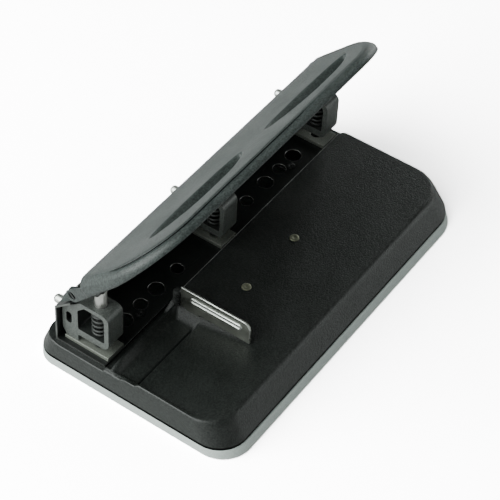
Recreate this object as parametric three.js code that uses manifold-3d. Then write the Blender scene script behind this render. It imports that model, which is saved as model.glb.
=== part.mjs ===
// Adjustable three-hole paper punch.
// Millimetres, +Z up. X runs along the row of punch heads, -Y is the side the paper comes in from.
// The origin is the centre of the base's footprint, on the surface the punch stands on.
import * as THREE from 'three';
import { ConvexGeometry } from 'three/addons/geometries/ConvexGeometry.js';
import { mergeVertices } from 'three/addons/utils/BufferGeometryUtils.js';
import Module from 'manifold-3d';

const wasm = await Module();
wasm.setup();

// ---------------------------------------------------------------- driving dimensions
const HALF_LENGTH = 123.2;        // base, along X
const HALF_DEPTH = 68.8;          // base, along Y
const FRONT_CORNER = [18, 22];    // plan radii of the base's front corners, at -X and +X
const BACK_CORNER = 12;           // plan radius of its two back corners
const END_X = 122.8;              // cover, at its lower edge
const SHEET = 1.6;                // thickness of the pressed cover under the table
const TRAY_FLOOR = 1.8;           // chip tray's floor thickness
const TRAY_TOP = 7.4;
const COVER_BOTTOM = 8.3;
const PLATFORM_Z = 22.2;          // paper table
const SHELF_Z = 18.3;             // ledge that carries the rail
const PLATFORM_BACK_Y = 20.2;     // paper table ends here, the rail begins
const CREST_Y = -56.6;            // front edge of the paper table
const CREST_X = 120.3;            // end edges of the paper table
const FRONT_Y = -65.8;            // foot of the cover's front slope
const BACK_Y = 68;                // foot of the cover's back
const CHANNEL_Z = 17.4;           // track of the paper guide
const CHANNEL_Y = [-1.7, 11.6];
const POCKET_Z = 19.2;            // recess in front of the track, at its deep edge
const POCKET_X = [-119.4, -57];
const POCKET_FRONT_Y = -49;

const RAIL_HALF = 118.3;
const RAIL_SHEET = 1.2;
const RAIL_FLOOR_Z = SHELF_Z + 0.1;
const RAIL_FRONT_Y = 20.9;
const RAIL_BACK_Y = 55.5;
const RAIL_WALL_Z = 46;
const LIP_TIP = [44.2, 54.6];     // front end of the sloping top lip, (y, z)
const CHIP_HOLES = [[35, 4], [55, 5], [70, 4.2], [85, 5]];    // distance from the middle, radius
const CHIP_HOLE_Y = 33;
const RIVET_HOLE_X = 76.3;
const RIVET_HOLE_Y = 28.5;
const COVER_WINDOWS = [[-114.5, -79.8], [-72.8, 72.8], [79.8, 114.5]];    // along X, under the rail
const WINDOW_Y = [26.2, 41];

const HEAD_SPACING = 108;
const HEAD_WIDTH = 13.2;
const DIE_WIDTH = 14.4;
const HEAD_TOP_Z = 54.7;
const HEAD_FRONT_Y = 21;
const HEAD_BACK_Y = 53.3;
const JAW_Z = 27.5;               // underside of the upper jaw, above the paper slot
const PIN_Y = 31.2;
const PIN_RADIUS = 3.57;          // 9/32 inch holes
const PIN_TOP_Z = 66.3;
const PIN_TIP_Z = 29.45;
const CLIP_Z = 50.2;              // underside of the retaining ring on the pin
const CLIP_THICK = 1.2;
const WINDOW_Z = [32.5, 51.9];
const SCREW_Z = 39;
const HEAD_TRAVEL = [[0, 73], [-20, 20], [-73, 0]];          // how far each head can be moved along the rail
const SLOT_HEIGHT = 3.6;

const PIVOT = [41.9, 64];         // handle hinge axis, (y, z)
const OPEN_ANGLE = 45;            // degrees the handle stands up at rest
const HANDLE_HALF = 119.4;
const HANDLE_SHEET = 1.1;
const HANDLE_BACK = -11.2;        // handle's own frame: plate's back edge, plate's top, front edge
const HANDLE_TOP = 6.9;
const HANDLE_FRONT = -78;
const HANDLE_CORNER = 40;
const EDGE_STEP = [0.8, 2.8];      // the top plate stands in from the skirt by this much, ends and front
const STEP_Z = 2;
const SKIRT_END = -3.6;           // lower edge of the end skirts
const SKIRT_FRONT = 0.2;          // lower edge of the front skirt
const GRIP_X = [-50.6, 56.4];       // middles of the two eye-shaped finger recesses
const GRIP_Y = -47.4;
const GRIP_HALF_LENGTH = 39;
const GRIP_BACK_BOW = 2.4;
const GRIP_FRONT_BOW = 14.6;
const GRIP_DEPTH = 4.4;
const PRESS_CENTRE = [-12.45, -3.1];
const PRESS_RADIUS = 4;
const BRACKET_X = [115.8, 117.1];
const ROD_RADIUS = 2;

const GUIDE_X = -58.7;
const GUIDE_Y = [-35.2, 12.6];
const GUIDE_Z = [22.7, 38.2];
const GUIDE_SHEET = 1.2;
const RIVETS = [-24.6, 24.6];
const RIVET_Y = -8.8;

// ---------------------------------------------------------------- materials
function finish(color, roughness, metalness) {
  return new THREE.MeshStandardMaterial({ color, roughness, metalness });
}
const BLACK_PAINT = () => finish(0x1b1d1c, 0.55, 0.1);
const GREY_PAINT = () => finish(0x4a4f4d, 0.6, 0.1);
const CAST_GREY = () => finish(0x6a6f6c, 0.55, 0.4);
const TRAY_GREY = () => finish(0xb9bebb, 0.5, 0);
const STEEL = () => finish(0xb5b7b4, 0.3, 1);
const CHROME = () => finish(0xd8dad6, 0.12, 1);
const SPRING_STEEL = () => finish(0x9a9b96, 0.3, 1);
const DULL_BRASS = () => finish(0x8c8d78, 0.45, 0.8);

// ---------------------------------------------------------------- solids and booleans
function toSolid(geometry) {
  const bare = geometry.clone();
  bare.deleteAttribute('normal');
  bare.deleteAttribute('uv');
  const merged = mergeVertices(bare, 1e-4);
  return new wasm.Manifold(new wasm.Mesh({
    numProp: 3,
    vertProperties: new Float32Array(merged.attributes.position.array),
    triVerts: new Uint32Array(merged.index.array),
  }));
}

function toGeometry(solid) {
  const mesh = solid.getMesh();
  const geometry = new THREE.BufferGeometry();
  geometry.setAttribute('position', new THREE.BufferAttribute(new Float32Array(mesh.vertProperties), 3));
  geometry.setIndex(new THREE.BufferAttribute(new Uint32Array(mesh.triVerts), 1));
  geometry.computeVertexNormals();
  return geometry;
}

function join(...solids) {
  return solids.reduce((sum, next) => sum.add(next));
}

function cut(solid, ...tools) {
  return tools.reduce((rest, tool) => rest.subtract(tool), solid);
}

// Convex body through several plan outlines, each at its own height.
function loft(...layers) {
  const points = [];
  for (const [shape, z] of layers) {
    for (const p of shape.getPoints(6)) points.push(new THREE.Vector3(p.x, p.y, z));
  }
  return toSolid(new ConvexGeometry(points));
}

function outline(points) {
  return new THREE.Shape(points.map(([u, v]) => new THREE.Vector2(u, v)));
}

function extruded(shape, depth, segments) {
  return new THREE.ExtrudeGeometry(shape, { depth, bevelEnabled: false, curveSegments: segments });
}

// A (y, z) outline swept along X.
function alongX(shape, x0, x1, segments = 6) {
  const axes = new THREE.Matrix4().makeBasis(
    new THREE.Vector3(0, 1, 0), new THREE.Vector3(0, 0, 1), new THREE.Vector3(1, 0, 0));
  return toSolid(extruded(shape, x1 - x0, segments).applyMatrix4(axes).translate(x0, 0, 0));
}

// An (x, z) outline swept along Y.
function alongY(shape, y0, y1, segments = 6) {
  const axes = new THREE.Matrix4().makeBasis(
    new THREE.Vector3(1, 0, 0), new THREE.Vector3(0, 0, 1), new THREE.Vector3(0, -1, 0));
  return toSolid(extruded(shape, y1 - y0, segments).applyMatrix4(axes).translate(0, y1, 0));
}

// An (x, y) outline swept along Z.
function alongZ(shape, z0, z1, segments = 6) {
  return toSolid(extruded(shape, z1 - z0, segments).translate(0, 0, z0));
}

function block(x0, x1, y0, y1, z0, z1) {
  const box = new THREE.BoxGeometry(x1 - x0, y1 - y0, z1 - z0);
  return toSolid(box.translate((x0 + x1) / 2, (y0 + y1) / 2, (z0 + z1) / 2));
}

function cylinder(axis, radius, centre, from, to, sides = 20) {
  const geometry = new THREE.CylinderGeometry(radius, radius, to - from, sides);
  if (axis === 'x') geometry.rotateZ(-Math.PI / 2).translate((from + to) / 2, centre[0], centre[1]);
  if (axis === 'y') geometry.translate(centre[0], (from + to) / 2, centre[1]);
  if (axis === 'z') geometry.rotateX(Math.PI / 2).translate(centre[0], centre[1], (from + to) / 2);
  return toSolid(geometry);
}

// A rectangle with round corners. Front is one radius, or one for each front corner.
function table(x0, x1, y0, y1, front, back) {
  const [left, right] = Array.isArray(front) ? front : [front, front];
  const shape = new THREE.Shape();
  shape.moveTo(x0 + left, y0);
  shape.lineTo(x1 - right, y0);
  shape.absarc(x1 - right, y0 + right, right, -Math.PI / 2, 0);
  shape.lineTo(x1, y1 - back);
  shape.absarc(x1 - back, y1 - back, back, 0, Math.PI / 2);
  shape.lineTo(x0 + back, y1);
  shape.absarc(x0 + back, y1 - back, back, Math.PI / 2, Math.PI);
  shape.lineTo(x0, y0 + left);
  shape.absarc(x0 + left, y0 + left, left, Math.PI, 1.5 * Math.PI);
  return shape;
}

function roundSlot(length, height, angle = 0) {
  const shape = new THREE.Shape();
  const reach = (length - height) / 2;
  shape.absarc(reach, 0, height / 2, -Math.PI / 2, Math.PI / 2);
  shape.absarc(-reach, 0, height / 2, Math.PI / 2, 1.5 * Math.PI);
  const points = shape.getPoints(8).map((p) => p.rotateAround(new THREE.Vector2(), angle));
  return new THREE.Shape(points);
}

function piece(name, solid, material) {
  const geometry = solid instanceof THREE.BufferGeometry ? solid : toGeometry(solid);
  const mesh = new THREE.Mesh(geometry, material);
  mesh.name = name;
  return mesh;
}

// ---------------------------------------------------------------- base
function frontRadii(change) {
  return FRONT_CORNER.map((radius) => radius + change);
}

// Plan of the pressed cover, drawn in by a given amount.
function coverPlan(inset, ends = END_X, front = FRONT_Y, back = BACK_Y) {
  return table(-ends + inset, ends - inset, front + inset, back - inset,
    frontRadii(-inset * 0.7), BACK_CORNER - inset * 0.7);
}

// Outer form: a sloping front, steep ends and back, and rounded upper edges.
function coverForm() {
  return loft(
    [coverPlan(0), COVER_BOTTOM],
    [coverPlan(0, CREST_X + 0.25, CREST_Y - 0.8, BACK_Y - 4.6), PLATFORM_Z - 1.4],
    [coverPlan(0.55, CREST_X + 0.25, CREST_Y - 0.8, BACK_Y - 4.6), PLATFORM_Z - 0.4],
    [coverPlan(1.8, CREST_X + 0.25, CREST_Y - 0.8, BACK_Y - 4.6), PLATFORM_Z]);
}

// Everything above the ledge behind the paper table, leaving the table's back corners rounded.
function railSpace() {
  const tablePlan = table(-CREST_X - 5, CREST_X, -100, PLATFORM_BACK_Y, 5, 4.5);
  return cut(block(-130, 130, -20, 80, SHELF_Z, 40), alongZ(tablePlan, 10, 50, 8));
}

// The guide's track: a groove beside the rail, a raised crest, a slope, and a flat floor.
function guideTrack() {
  const track = outline([[PLATFORM_BACK_Y + 1.2, SHELF_Z - 0.6], [17.2, SHELF_Z - 0.6], [16.7, PLATFORM_Z - 0.7],
    [16, PLATFORM_Z - 0.4], [CHANNEL_Y[1], CHANNEL_Z + 0.1], [CHANNEL_Y[1] - 0.8, CHANNEL_Z],
    [CHANNEL_Y[0] + 0.6, CHANNEL_Z], [CHANNEL_Y[0], POCKET_Z], [CHANNEL_Y[0], 30], [PLATFORM_BACK_Y + 1.2, 30]]);
  const nearEnd = alongX(outline([[CHANNEL_Y[1] + 1.2, PLATFORM_Z - 2], [CHANNEL_Y[0] - 1, PLATFORM_Z - 2],
    [CHANNEL_Y[0] - 4, 30], [CHANNEL_Y[1] + 5, 30]]), -130, -110);
  return join(alongX(track, POCKET_X[0], POCKET_X[1]), nearEnd);
}

// The shallow recess in front of the track: deepest beside it, running out towards the front.
function guidePocket() {
  const fall = outline([[CHANNEL_Y[0] + 0.5, POCKET_Z], [CHANNEL_Y[0] + 0.5, 30], [POCKET_FRONT_Y - 4, 30],
    [POCKET_FRONT_Y - 4, PLATFORM_Z - 0.3]]);
  const floor = table(POCKET_X[0] + 1.6, POCKET_X[1] - 2.4, POCKET_FRONT_Y + 3, 20, 22, 1);
  const rim = table(POCKET_X[0] - 0.4, POCKET_X[1], POCKET_FRONT_Y, 20, 24, 1);
  const wide = table(POCKET_X[0] - 0.4, POCKET_X[1] + 0.4, POCKET_FRONT_Y - 0.4, 20, 24, 1);
  return alongX(fall, -130, -40).intersect(loft([floor, 18.4], [rim, PLATFORM_Z], [wide, PLATFORM_Z + 3]));
}

// Holes in the rail's floor that let the punched discs drop through.
function chipHoles() {
  const tools = [];
  for (const side of [-1, 1]) {
    for (const [x, radius] of CHIP_HOLES) {
      tools.push(cylinder('z', radius, [side * x, CHIP_HOLE_Y], 10, 25, 16));
    }
  }
  for (const k of [-1, 0, 1]) {
    tools.push(cylinder('z', PIN_RADIUS + 1.4, [k * HEAD_SPACING, PIN_Y], 10, 25, 16));
  }
  return tools;
}

// Long windows in the ledge under those holes, open to the chip tray below.
function coverWindows() {
  return COVER_WINDOWS.map(([x0, x1]) => block(x0, x1, ...WINDOW_Y, 10, 30));
}

function rivetHoles(radius) {
  return [-1, 1].map((side) => cylinder('z', radius, [side * RIVET_HOLE_X, RIVET_HOLE_Y], 10, 30, 12));
}

function baseCover() {
  const skirt = alongZ(coverPlan(2.8), 4.2, COVER_BOTTOM + 1, 10);
  const inside = loft([coverPlan(4.4), 0], [coverPlan(4.4), COVER_BOTTOM],
    [coverPlan(3.2, CREST_X, CREST_Y, BACK_Y - 5), PLATFORM_Z]);
  const room = join(
    block(-130, 130, -80, 80, 0, CHANNEL_Z - SHEET),
    block(-130, 130, PLATFORM_BACK_Y - SHEET - 1, 80, 0, SHELF_Z - 0.6 - SHEET),
    block(POCKET_X[1] + SHEET + 1, 130, -80, PLATFORM_BACK_Y - SHEET, 0, PLATFORM_Z - SHEET));
  return cut(join(coverForm(), skirt), inside.intersect(room), railSpace(), guideTrack(), guidePocket(),
    ...coverWindows(),
    ...RIVETS.map((x) => cylinder('z', 2.2, [x, RIVET_Y], 10, 30, 16)),
    ...rivetHoles(1.7));
}

function trayPlan(inset) {
  return table(-HALF_LENGTH + inset, HALF_LENGTH - inset, -HALF_DEPTH + inset, HALF_DEPTH - inset,
    frontRadii(1 - inset * 0.7), BACK_CORNER + 1 - inset * 0.7);
}

function chipTray() {
  const upper = table(-HALF_LENGTH + 0.3, HALF_LENGTH - 0.3, FRONT_Y - 0.2, HALF_DEPTH - 0.3,
    frontRadii(0), BACK_CORNER + 0.8);
  const outer = loft([trayPlan(0.6), 0], [trayPlan(0), 0.8], [upper, TRAY_TOP]);
  const inner = table(-HALF_LENGTH + 2.3, HALF_LENGTH - 2.3, FRONT_Y + 1.8, HALF_DEPTH - 2.3,
    frontRadii(-1.4), BACK_CORNER - 1);
  return cut(outer, alongZ(inner, TRAY_FLOOR, 20, 6));
}

function tableRivet() {
  const profile = [[0, -3], [2, -3], [2, 0.12], [2.95, 0.12], [2.8, 0.5], [2.1, 0.8], [0, 0.9]];
  return new THREE.LatheGeometry(profile.map(([r, z]) => new THREE.Vector2(r, z)), 14).rotateX(Math.PI / 2);
}

// ---------------------------------------------------------------- rail
// One folded sheet: low front edge, floor, back wall, and a top lip sloping up over the heads.
function railProfile() {
  const t = RAIL_SHEET;
  const floor = RAIL_FLOOR_Z;
  return outline([
    [RAIL_FRONT_Y, floor], [RAIL_BACK_Y, floor], [RAIL_BACK_Y, RAIL_WALL_Z],
    [LIP_TIP[0] + 0.4, LIP_TIP[1] + 0.9], [LIP_TIP[0] - 0.4, LIP_TIP[1]],
    [RAIL_BACK_Y - t, RAIL_WALL_Z - 0.7], [RAIL_BACK_Y - t, floor + t],
    [RAIL_FRONT_Y + 0.6, floor + t], [RAIL_FRONT_Y, floor + t - 0.3]]);
}

function rail() {
  const slots = HEAD_TRAVEL.map(([low, high], i) => {
    const slot = roundSlot(high - low + SLOT_HEIGHT + 0.6, SLOT_HEIGHT);
    return alongY(slot, 50, 60).translate([(i - 1) * HEAD_SPACING + (low + high) / 2, 0, SCREW_Z]);
  });
  return cut(alongX(railProfile(), -RAIL_HALF, RAIL_HALF), ...slots, ...chipHoles(), ...rivetHoles(1.7));
}

function railRivet() {
  const top = RAIL_FLOOR_Z + RAIL_SHEET;
  const profile = [[0, -4], [1.5, -4], [1.5, 0.1], [2.6, 0.1], [2.2, 0.9], [0, 1.1]];
  return new THREE.LatheGeometry(profile.map(([r, z]) => new THREE.Vector2(r, z + top)), 12).rotateX(Math.PI / 2);
}

// An upright tab on each end of the rail's lip carries the hinge rod.
function hingeBracket(side) {
  const [py, pz] = PIVOT;
  const shape = new THREE.Shape();
  shape.moveTo(py - 4.2, pz);
  shape.absarc(py, pz, 4.2, Math.PI, 0.15, true);
  shape.lineTo(50.2, 57);
  shape.lineTo(51, 51.2);
  shape.lineTo(42.6, 58.4);
  shape.closePath();
  const x = BRACKET_X.map((v) => side * v).sort((a, b) => a - b);
  const footX = [side * 108.5, side * BRACKET_X[1]].sort((a, b) => a - b);
  const foot = outline([[51.4, 50.9], [46, 55.3], [45.2, 54.4], [50.6, 49.9]].map(([y, z]) => [y + 0.6, z + 1]));
  return cut(join(alongX(shape, x[0], x[1], 8), alongX(foot, footX[0], footX[1])),
    cylinder('x', ROD_RADIUS + 0.1, PIVOT, -140, 140, 20));
}

// ---------------------------------------------------------------- punch heads
// Side view of the cast frame: slanting back, round front corner, and a slot for the paper.
function headSide() {
  const shape = new THREE.Shape();
  shape.moveTo(HEAD_BACK_Y, 25);
  shape.lineTo(HEAD_BACK_Y, 44);
  shape.lineTo(40.3, HEAD_TOP_Z);
  shape.lineTo(HEAD_FRONT_Y + 4.5, HEAD_TOP_Z);
  shape.absarc(HEAD_FRONT_Y + 4.5, HEAD_TOP_Z - 4.5, 4.5, Math.PI / 2, Math.PI);
  shape.lineTo(HEAD_FRONT_Y, JAW_Z + 5);
  shape.absarc(HEAD_FRONT_Y + 5, JAW_Z + 5, 5, Math.PI, 1.5 * Math.PI);
  shape.lineTo(42.4, JAW_Z);
  shape.lineTo(42.4, PLATFORM_Z + 0.3);
  shape.lineTo(50.4, PLATFORM_Z + 0.3);
  return shape;
}

// The window that holds the spring, open towards the near end and blind at the far side.
function springWindow() {
  const [low, high] = WINDOW_Z;
  const shape = new THREE.Shape();
  shape.moveTo(24.6, low);
  shape.lineTo(42, low);
  shape.lineTo(42.4, low + 1);
  shape.lineTo(42.4, high - 4.6);
  shape.lineTo(37.8, high);
  shape.lineTo(27, high);
  shape.absarc(27, high - 3, 3, Math.PI / 2, Math.PI);
  shape.lineTo(24, low + 0.6);
  return shape;
}

function headFrame() {
  const half = HEAD_WIDTH / 2;
  const rearHole = alongX(roundSlot(8.6, 3.8, Math.PI / 2), -half - 1, half - 2).translate([0, 48.6, 38]);
  return cut(alongX(headSide(), -half, half, 5),
    alongX(springWindow(), -half - 1, half + 1, 4),
    rearHole,
    cylinder('z', PIN_RADIUS + 0.12, [0, PIN_Y], 20, 60),
    cylinder('y', 1.7, [0, SCREW_Z], 50.5, 60, 16));
}

// The plate under each head, grooved along X underneath to pass over the rail's rivets.
function diePlate() {
  const half = DIE_WIDTH / 2;
  const under = RAIL_FLOOR_Z + RAIL_SHEET + 0.05;
  const plan = outline([[-half, 21], [half, 21], [half, 51.6], [-half, 51.6]]);
  return cut(alongZ(plan, under, PLATFORM_Z),
    block(-10, 10, RIVET_HOLE_Y - 3, RIVET_HOLE_Y + 3, under - 1, under + 1.35),
    cylinder('z', PIN_RADIUS + 0.1, [0, PIN_Y], 10, 30));
}

// The punch pin: plain shank, shallow V cut across its tip.
function punchPin() {
  const shank = cylinder('z', PIN_RADIUS, [0, PIN_Y], PIN_TIP_Z, PIN_TOP_Z, 24);
  const notch = alongY(outline([[-5, PIN_TIP_Z - 1], [5, PIN_TIP_Z - 1], [0, PIN_TIP_Z + 1.6]]), 20, 45);
  const groove = cut(
    cylinder('z', PIN_RADIUS + 1, [0, PIN_Y], CLIP_Z - 0.05, CLIP_Z + CLIP_THICK + 0.05),
    cylinder('z', PIN_RADIUS - 0.5, [0, PIN_Y], 0, 80));
  return cut(shank, notch, groove);
}

function pinClip() {
  const ring = cut(
    cylinder('z', PIN_RADIUS + 1.9, [0, PIN_Y], CLIP_Z, CLIP_Z + CLIP_THICK, 24),
    cylinder('z', PIN_RADIUS - 0.4, [0, PIN_Y], 0, 80, 24));
  return cut(ring, block(-1.2, 1.2, PIN_Y + 1, PIN_Y + 10, 0, 80));
}

class Helix extends THREE.Curve {
  constructor(radius, low, high, turns) {
    super();
    Object.assign(this, { radius, low, high, turns });
  }

  getPoint(t, target = new THREE.Vector3()) {
    const angle = 2 * Math.PI * this.turns * t;
    return target.set(
      this.radius * Math.cos(angle),
      PIN_Y + this.radius * Math.sin(angle),
      this.low + (this.high - this.low) * t);
  }
}

function returnSpring() {
  const wire = 0.5;
  const turns = 7;
  const path = new Helix(PIN_RADIUS + 0.95, WINDOW_Z[0] + wire + 0.15, CLIP_Z - wire - 0.15, turns);
  const section = new THREE.Shape().absarc(0, 0, wire, 0, 2 * Math.PI);
  return new THREE.ExtrudeGeometry(section, { steps: turns * 9, curveSegments: 3, extrudePath: path });
}

function lockScrew() {
  const profile = [[0, 52.2], [1.5, 52.2], [1.5, 56.95], [2.9, 56.95], [2.9, 61.2], [2.4, 62.8], [1.4, 63.7],
    [0, 64]];
  const body = toSolid(new THREE.LatheGeometry(profile.map(([r, y]) => new THREE.Vector2(r, y)), 16))
    .translate([0, 0, SCREW_Z]);
  const cross = join(
    block(-1.7, 1.7, 62.7, 66, SCREW_Z - 0.35, SCREW_Z + 0.35),
    block(-0.35, 0.35, 62.7, 66, SCREW_Z - 1.7, SCREW_Z + 1.7));
  return cut(body, cross);
}

function lockWasher() {
  return cut(cylinder('y', 4.2, [0, SCREW_Z], RAIL_BACK_Y + 0.1, RAIL_BACK_Y + 1.3, 16),
    cylinder('y', 1.7, [0, SCREW_Z], 40, 80, 12));
}

// ---------------------------------------------------------------- handle
// Built closed, with its hinge axis on the X axis, then swung up.
function skirtPlan(inset) {
  const half = HANDLE_HALF - inset;
  return table(-half, half, HANDLE_FRONT + inset, 8, HANDLE_CORNER - inset, 3);
}

function platePlan(inset) {
  const half = HANDLE_HALF - EDGE_STEP[0] - inset;
  return table(-half, half, HANDLE_FRONT + EDGE_STEP[1] + inset, 8, HANDLE_CORNER - inset, 3);
}

// Pointed at both ends, nearly straight along the back and bowed to the front.
function gripOutline(inset) {
  const half = GRIP_HALF_LENGTH - 2 * inset;
  const shape = new THREE.Shape();
  const arc = (bow, sign) => {
    const radius = (half * half + bow * bow) / (2 * bow);
    const sweep = Math.asin(half / radius);
    const middle = sign * (Math.PI / 2);
    shape.absarc(0, sign * (bow - radius), radius, middle - sweep, middle + sweep);
  };
  arc(GRIP_BACK_BOW - inset, 1);
  arc(GRIP_FRONT_BOW - inset, -1);
  return shape;
}

function gripAt(x, inset, z0, z1) {
  return alongZ(gripOutline(inset), z0, z1, 8).translate([x, GRIP_Y, 0]);
}

// Rounded edge of the handle in side view, and the line of the skirts' lower edge.
function handleSide() {
  const shape = new THREE.Shape();
  shape.moveTo(HANDLE_BACK, HANDLE_TOP);
  shape.lineTo(HANDLE_FRONT + 4, HANDLE_TOP);
  shape.absarc(HANDLE_FRONT + 4, HANDLE_TOP - 4, 4, Math.PI / 2, Math.PI);
  shape.lineTo(HANDLE_FRONT, SKIRT_FRONT);
  shape.lineTo(-42, -2.4);
  shape.lineTo(0, SKIRT_END - 0.4);
  shape.absarc(0, 0, 4.4, -Math.PI / 2, Math.PI / 3);
  shape.lineTo(-3, 5.2);
  return shape;
}

function handleShell() {
  const t = HANDLE_SHEET;
  const top = HANDLE_TOP;
  const plate = loft([platePlan(0), -20], [platePlan(0), top - 1.8], [platePlan(0.5), top - 0.6], [platePlan(1.8), top]);
  const skirt = loft([skirtPlan(0), -20], [skirtPlan(0), STEP_Z - 1], [platePlan(-0.2), STEP_Z]);
  const outer = join(plate, skirt).intersect(alongX(handleSide(), -HANDLE_HALF, HANDLE_HALF));
  const inner = join(
    alongZ(platePlan(t), -30, top - t, 6),
    alongZ(skirtPlan(t), -30, STEP_Z - 1.4, 6));
  const dishes = GRIP_X.map((x) => gripAt(x, 0, top - GRIP_DEPTH - t, top - 0.5));
  const hollows = GRIP_X.map((x) => gripAt(x, t, top - GRIP_DEPTH, 20));
  const keyway = alongX(roundSlot(5.4, 1.8, Math.PI / 2), -140, 140);
  return cut(join(cut(outer, inner), ...dishes), ...hollows, keyway);
}

// Hinge rod: round between the brackets, flattened where it is keyed into the handle's ends.
function hingeRod() {
  const half = BRACKET_X[1] + 0.2;
  const round = cylinder('x', ROD_RADIUS, [0, 0], -half, half, 20);
  const blade = roundSlot(4.8, 1.2, Math.PI / 2);
  return join(round, alongX(blade, -HANDLE_HALF + 0.1, -half + 0.1), alongX(blade, half - 0.1, HANDLE_HALF - 0.1));
}

// The strip that pushes the pins down, hung under the plate's back edge.
function pressBar() {
  const [cy, cz] = PRESS_CENTRE;
  const top = HANDLE_TOP - HANDLE_SHEET - 0.1;
  const shape = new THREE.Shape();
  shape.moveTo(cy - PRESS_RADIUS - 6, top);
  shape.lineTo(cy - PRESS_RADIUS - 6, top - 1.2);
  shape.lineTo(cy - PRESS_RADIUS, top - 1.2);
  shape.lineTo(cy - PRESS_RADIUS, cz);
  shape.absarc(cy, cz, PRESS_RADIUS, Math.PI, 2 * Math.PI);
  shape.lineTo(cy + PRESS_RADIUS, top - 3);
  shape.lineTo(cy + PRESS_RADIUS - 1.2, top - 3);
  shape.lineTo(cy + PRESS_RADIUS - 1.2, cz);
  shape.absarc(cy, cz, PRESS_RADIUS - 1.2, 0, -Math.PI, true);
  shape.lineTo(cy - PRESS_RADIUS + 1.2, top);
  return alongX(shape, -114, 114, 8);
}

// ---------------------------------------------------------------- paper guide
function guidePlate() {
  const [y0, y1] = GUIDE_Y;
  const [z0, z1] = GUIDE_Z;
  const shape = new THREE.Shape();
  shape.moveTo(y0, z0);
  shape.lineTo(y1, z0);
  shape.lineTo(y1, z1 - 1);
  shape.lineTo(y1 - 1, z1);
  shape.lineTo(y0 + 5, z1);
  shape.absarc(y0 + 5, z1 - 5, 5, Math.PI / 2, Math.PI);
  const plate = alongX(shape, GUIDE_X - GUIDE_SHEET / 2, GUIDE_X + GUIDE_SHEET / 2, 8);
  const rib = alongX(roundSlot(36, 4.4), GUIDE_X - GUIDE_SHEET / 2 - 0.7, GUIDE_X)
    .translate([0, (y0 + y1) / 2 - 0.6, 32.2]);
  const leg = block(GUIDE_X - GUIDE_SHEET / 2, GUIDE_X + GUIDE_SHEET / 2, CHANNEL_Y[0] + 1.2, y1 - 3,
    CHANNEL_Z + 0.1, z0 + 1);
  return join(plate, rib, leg);
}

// Sleeve at the guide's rail end.
function guideSleeve() {
  const profile = [[0, 22.6], [2.1, 22.6], [2.6, 23.2], [2.6, 26], [2, 26.6], [2, 27.4], [2.6, 28],
    [2.6, 33.4], [2, 34.2], [0, 34.2]];
  return new THREE.LatheGeometry(profile.map(([r, z]) => new THREE.Vector2(r, z)), 14)
    .rotateX(Math.PI / 2);
}

// ---------------------------------------------------------------- assembly
function head(index) {
  const group = new THREE.Group();
  const n = index + 1;
  group.position.x = (index - 1) * HEAD_SPACING;
  group.add(
    piece(`head_frame_${n}`, headFrame(), CAST_GREY()),
    piece(`die_plate_${n}`, diePlate(), CAST_GREY()),
    piece(`punch_pin_${n}`, punchPin(), STEEL()),
    piece(`pin_clip_${n}`, pinClip(), SPRING_STEEL()),
    piece(`return_spring_${n}`, returnSpring(), SPRING_STEEL()),
    piece(`lock_screw_${n}`, lockScrew(), CHROME()),
    piece(`lock_washer_${n}`, lockWasher(), STEEL()));
  return group;
}

function handle() {
  const group = new THREE.Group();
  group.position.set(0, PIVOT[0], PIVOT[1]);
  group.rotation.x = THREE.MathUtils.degToRad(-OPEN_ANGLE);
  group.add(
    piece('handle', handleShell(), GREY_PAINT()),
    piece('hinge_rod', hingeRod(), BLACK_PAINT()),
    piece('press_bar', pressBar(), BLACK_PAINT()));
  return group;
}

const punch = new THREE.Group();
punch.add(piece('base_cover', baseCover(), BLACK_PAINT()));
punch.add(piece('chip_tray', chipTray(), TRAY_GREY()));
for (const [i, x] of RIVETS.entries()) {
  const rivet = piece(`table_rivet_${i + 1}`, tableRivet(), DULL_BRASS());
  rivet.position.set(x, RIVET_Y, PLATFORM_Z);
  punch.add(rivet);
}
punch.add(piece('rail', rail(), BLACK_PAINT()));
for (const [i, side] of [-1, 1].entries()) {
  const rivet = piece(`rail_rivet_${i + 1}`, railRivet(), STEEL());
  rivet.position.set(side * RIVET_HOLE_X, RIVET_HOLE_Y, 0);
  punch.add(rivet);
}
punch.add(piece('hinge_bracket_near', hingeBracket(-1), GREY_PAINT()));
punch.add(piece('hinge_bracket_far', hingeBracket(1), GREY_PAINT()));
for (const index of [0, 1, 2]) punch.add(head(index));
punch.add(handle());
punch.add(piece('guide_plate', guidePlate(), CHROME()));
const sleeve = piece('guide_sleeve', guideSleeve(), CHROME());
sleeve.position.set(GUIDE_X, GUIDE_Y[1] + 3, 0);
punch.add(sleeve);

export default punch;
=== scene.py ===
import math

import bmesh
import bpy
import numpy as np
from mathutils import Matrix, Vector


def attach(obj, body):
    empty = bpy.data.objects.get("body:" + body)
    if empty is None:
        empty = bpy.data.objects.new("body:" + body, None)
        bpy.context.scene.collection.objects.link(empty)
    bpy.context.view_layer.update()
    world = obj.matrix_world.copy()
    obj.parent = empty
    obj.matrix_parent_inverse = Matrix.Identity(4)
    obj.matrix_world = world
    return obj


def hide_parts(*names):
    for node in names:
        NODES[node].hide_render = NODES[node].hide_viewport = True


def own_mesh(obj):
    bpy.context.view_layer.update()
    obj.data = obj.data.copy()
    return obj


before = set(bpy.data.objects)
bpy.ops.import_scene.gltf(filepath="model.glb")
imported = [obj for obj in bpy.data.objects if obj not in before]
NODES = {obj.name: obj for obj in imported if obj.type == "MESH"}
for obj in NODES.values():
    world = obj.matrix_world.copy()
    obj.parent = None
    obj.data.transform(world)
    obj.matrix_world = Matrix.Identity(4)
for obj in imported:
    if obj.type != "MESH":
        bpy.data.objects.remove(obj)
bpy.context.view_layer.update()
MM = 0.001

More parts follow.
